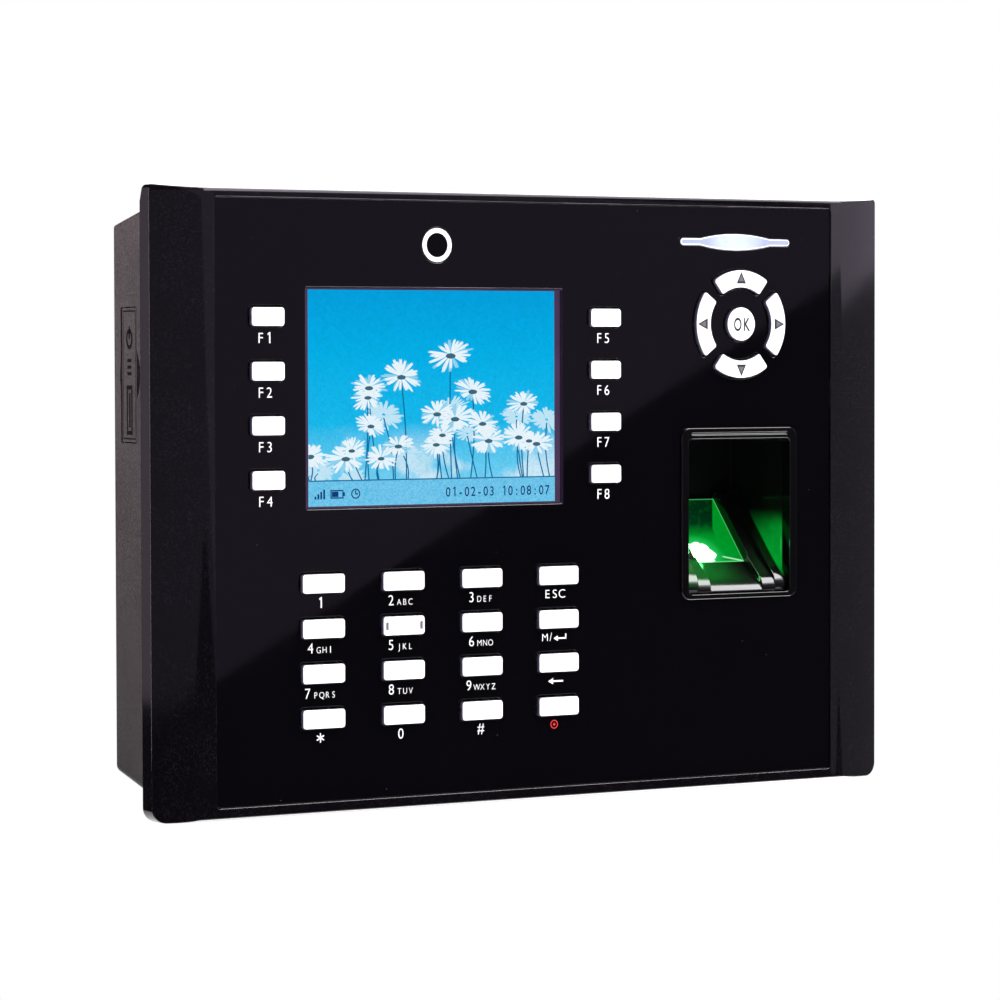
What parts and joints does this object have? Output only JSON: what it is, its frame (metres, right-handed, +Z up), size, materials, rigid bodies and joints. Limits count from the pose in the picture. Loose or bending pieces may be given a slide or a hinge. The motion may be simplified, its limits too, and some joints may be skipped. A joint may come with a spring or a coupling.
{
  "type": "fingerprint scanner terminal",
  "caption": "Wall-mounted fingerprint terminal: glossy front panel with colour display, keypad, arrow keys and a lit finger well, on a tapered rear shell and a steel wall plate.",
  "frame": {"origin": "on the wall face of the wall plate, in the middle of its four screw holes", "axes": "+X to the viewer's right, +Y towards the wall, +Z up; the panel faces -Y"},
  "size_m": [0.212, 0.0419, 0.1518],
  "materials": {
    "bezel_plastic": "fine satin texture, black",
    "panel_gloss": "high gloss, black",
    "window_clear": "clear, polished",
    "camera_smoke": "dark smoked window, polished",
    "light_guide": "milky light guide",
    "shell_plastic": "fine spark texture, charcoal",
    "rim_gloss": "gloss black",
    "guide_gloss": "gloss black",
    "prism_glass": "polished optical glass lit green",
    "inner_black": "matte black",
    "board_green": "solder mask",
    "silicone": "soft matte",
    "display_glass": "display module, dark surround",
    "sheet_steel": "tinned sheet",
    "cable_film": "polyimide film",
    "slider_white": "matte white",
    "terminal_green": "matte green",
    "plate_steel": "zinc plated",
    "screw_steel": "zinc plated",
    "key_white": "smooth white"
  },
  "bodies": {
    "terminal": {"front_bezel": "bezel_plastic", "front_panel": "panel_gloss", "display_window": "window_clear", "camera_window": "camera_smoke", "light_bar": "light_guide", "rear_shell": "shell_plastic", "cable_tray": "inner_black", "sensor_rim": "rim_gloss", "finger_guide": "guide_gloss", "sensor_prism": "prism_glass", "sensor_housing": "inner_black", "sensor_board": "board_green", "key_mat": "silicone", "key_board": "board_green", "display_panel": "display_glass", "display_frame": "sheet_steel", "camera_module": "inner_black", "main_board": "board_green", "ribbon_cables": "cable_film", "speaker": "inner_black", "usb_socket": "sheet_steel", "power_switch": "inner_black", "network_socket": "sheet_steel", "power_socket": "inner_black", "terminal_block": "terminal_green", "wall_plate": "plate_steel", "case_screws": "screw_steel", "board_screws": "screw_steel", "plate_screws": "screw_steel"},
    "key_f1": {"key_f1": "key_white"},
    "key_f2": {"key_f2": "key_white"},
    "key_f3": {"key_f3": "key_white"},
    "key_f4": {"key_f4": "key_white"},
    "key_f5": {"key_f5": "key_white"},
    "key_f6": {"key_f6": "key_white"},
    "key_f7": {"key_f7": "key_white"},
    "key_f8": {"key_f8": "key_white"},
    "key_1": {"key_1": "key_white"},
    "key_2": {"key_2": "key_white"},
    "key_3": {"key_3": "key_white"},
    "key_esc": {"key_esc": "key_white"},
    "key_4": {"key_4": "key_white"},
    "key_5": {"key_5": "key_white"},
    "key_6": {"key_6": "key_white"},
    "key_menu": {"key_menu": "key_white"},
    "key_7": {"key_7": "key_white"},
    "key_8": {"key_8": "key_white"},
    "key_9": {"key_9": "key_white"},
    "key_back": {"key_back": "key_white"},
    "key_star": {"key_star": "key_white"},
    "key_0": {"key_0": "key_white"},
    "key_hash": {"key_hash": "key_white"},
    "key_power": {"key_power": "key_white"},
    "nav_right": {"nav_right": "key_white"},
    "nav_up": {"nav_up": "key_white"},
    "nav_left": {"nav_left": "key_white"},
    "nav_down": {"nav_down": "key_white"},
    "nav_ok": {"nav_ok": "key_white"},
    "port_cover": {"port_cover": "shell_plastic"},
    "switch_slider": {"switch_slider": "slider_white"}
  },
  "joints": [
    {"name": "key_f1_press", "type": "slide", "parent": "terminal", "child": "key_f1", "axis": [0, 1, 0], "range_m": [0, 0.0008], "stiffness_N_per_m": 1000, "springref_m": -0.0005},
    {"name": "key_f2_press", "type": "slide", "parent": "terminal", "child": "key_f2", "axis": [0, 1, 0], "range_m": [0, 0.0008], "stiffness_N_per_m": 1000, "springref_m": -0.0005},
    {"name": "key_f3_press", "type": "slide", "parent": "terminal", "child": "key_f3", "axis": [0, 1, 0], "range_m": [0, 0.0008], "stiffness_N_per_m": 1000, "springref_m": -0.0005},
    {"name": "key_f4_press", "type": "slide", "parent": "terminal", "child": "key_f4", "axis": [0, 1, 0], "range_m": [0, 0.0008], "stiffness_N_per_m": 1000, "springref_m": -0.0005},
    {"name": "key_f5_press", "type": "slide", "parent": "terminal", "child": "key_f5", "axis": [0, 1, 0], "range_m": [0, 0.0008], "stiffness_N_per_m": 1000, "springref_m": -0.0005},
    {"name": "key_f6_press", "type": "slide", "parent": "terminal", "child": "key_f6", "axis": [0, 1, 0], "range_m": [0, 0.0008], "stiffness_N_per_m": 1000, "springref_m": -0.0005},
    {"name": "key_f7_press", "type": "slide", "parent": "terminal", "child": "key_f7", "axis": [0, 1, 0], "range_m": [0, 0.0008], "stiffness_N_per_m": 1000, "springref_m": -0.0005},
    {"name": "key_f8_press", "type": "slide", "parent": "terminal", "child": "key_f8", "axis": [0, 1, 0], "range_m": [0, 0.0008], "stiffness_N_per_m": 1000, "springref_m": -0.0005},
    {"name": "key_1_press", "type": "slide", "parent": "terminal", "child": "key_1", "axis": [0, 1, 0], "range_m": [0, 0.0008], "stiffness_N_per_m": 1000, "springref_m": -0.0005},
    {"name": "key_2_press", "type": "slide", "parent": "terminal", "child": "key_2", "axis": [0, 1, 0], "range_m": [0, 0.0008], "stiffness_N_per_m": 1000, "springref_m": -0.0005},
    {"name": "key_3_press", "type": "slide", "parent": "terminal", "child": "key_3", "axis": [0, 1, 0], "range_m": [0, 0.0008], "stiffness_N_per_m": 1000, "springref_m": -0.0005},
    {"name": "key_esc_press", "type": "slide", "parent": "terminal", "child": "key_esc", "axis": [0, 1, 0], "range_m": [0, 0.0008], "stiffness_N_per_m": 1000, "springref_m": -0.0005},
    {"name": "key_4_press", "type": "slide", "parent": "terminal", "child": "key_4", "axis": [0, 1, 0], "range_m": [0, 0.0008], "stiffness_N_per_m": 1000, "springref_m": -0.0005},
    {"name": "key_5_press", "type": "slide", "parent": "terminal", "child": "key_5", "axis": [0, 1, 0], "range_m": [0, 0.0008], "stiffness_N_per_m": 1000, "springref_m": -0.0005},
    {"name": "key_6_press", "type": "slide", "parent": "terminal", "child": "key_6", "axis": [0, 1, 0], "range_m": [0, 0.0008], "stiffness_N_per_m": 1000, "springref_m": -0.0005},
    {"name": "key_menu_press", "type": "slide", "parent": "terminal", "child": "key_menu", "axis": [0, 1, 0], "range_m": [0, 0.0008], "stiffness_N_per_m": 1000, "springref_m": -0.0005},
    {"name": "key_7_press", "type": "slide", "parent": "terminal", "child": "key_7", "axis": [0, 1, 0], "range_m": [0, 0.0008], "stiffness_N_per_m": 1000, "springref_m": -0.0005},
    {"name": "key_8_press", "type": "slide", "parent": "terminal", "child": "key_8", "axis": [0, 1, 0], "range_m": [0, 0.0008], "stiffness_N_per_m": 1000, "springref_m": -0.0005},
    {"name": "key_9_press", "type": "slide", "parent": "terminal", "child": "key_9", "axis": [0, 1, 0], "range_m": [0, 0.0008], "stiffness_N_per_m": 1000, "springref_m": -0.0005},
    {"name": "key_back_press", "type": "slide", "parent": "terminal", "child": "key_back", "axis": [0, 1, 0], "range_m": [0, 0.0008], "stiffness_N_per_m": 1000, "springref_m": -0.0005},
    {"name": "key_star_press", "type": "slide", "parent": "terminal", "child": "key_star", "axis": [0, 1, 0], "range_m": [0, 0.0008], "stiffness_N_per_m": 1000, "springref_m": -0.0005},
    {"name": "key_0_press", "type": "slide", "parent": "terminal", "child": "key_0", "axis": [0, 1, 0], "range_m": [0, 0.0008], "stiffness_N_per_m": 1000, "springref_m": -0.0005},
    {"name": "key_hash_press", "type": "slide", "parent": "terminal", "child": "key_hash", "axis": [0, 1, 0], "range_m": [0, 0.0008], "stiffness_N_per_m": 1000, "springref_m": -0.0005},
    {"name": "key_power_press", "type": "slide", "parent": "terminal", "child": "key_power", "axis": [0, 1, 0], "range_m": [0, 0.0008], "stiffness_N_per_m": 1000, "springref_m": -0.0005},
    {"name": "nav_right_press", "type": "slide", "parent": "terminal", "child": "nav_right", "axis": [0, 1, 0], "range_m": [0, 0.0008], "stiffness_N_per_m": 1000, "springref_m": -0.0005},
    {"name": "nav_up_press", "type": "slide", "parent": "terminal", "child": "nav_up", "axis": [0, 1, 0], "range_m": [0, 0.0008], "stiffness_N_per_m": 1000, "springref_m": -0.0005},
    {"name": "nav_left_press", "type": "slide", "parent": "terminal", "child": "nav_left", "axis": [0, 1, 0], "range_m": [0, 0.0008], "stiffness_N_per_m": 1000, "springref_m": -0.0005},
    {"name": "nav_down_press", "type": "slide", "parent": "terminal", "child": "nav_down", "axis": [0, 1, 0], "range_m": [0, 0.0008], "stiffness_N_per_m": 1000, "springref_m": -0.0005},
    {"name": "nav_ok_press", "type": "slide", "parent": "terminal", "child": "nav_ok", "axis": [0, 1, 0], "range_m": [0, 0.0008], "stiffness_N_per_m": 1000, "springref_m": -0.0005},
    {"name": "port_cover_hinge", "type": "hinge", "parent": "terminal", "child": "port_cover", "pos_m": [-0.0974, -0.00792, 0.03055], "axis": [0, 0, -1], "range_deg": [0, 100]},
    {"name": "power_switch_slide", "type": "slide", "parent": "terminal", "child": "switch_slider", "axis": [0, 0, 1], "range_m": [0, 0.0035]}
  ]
}
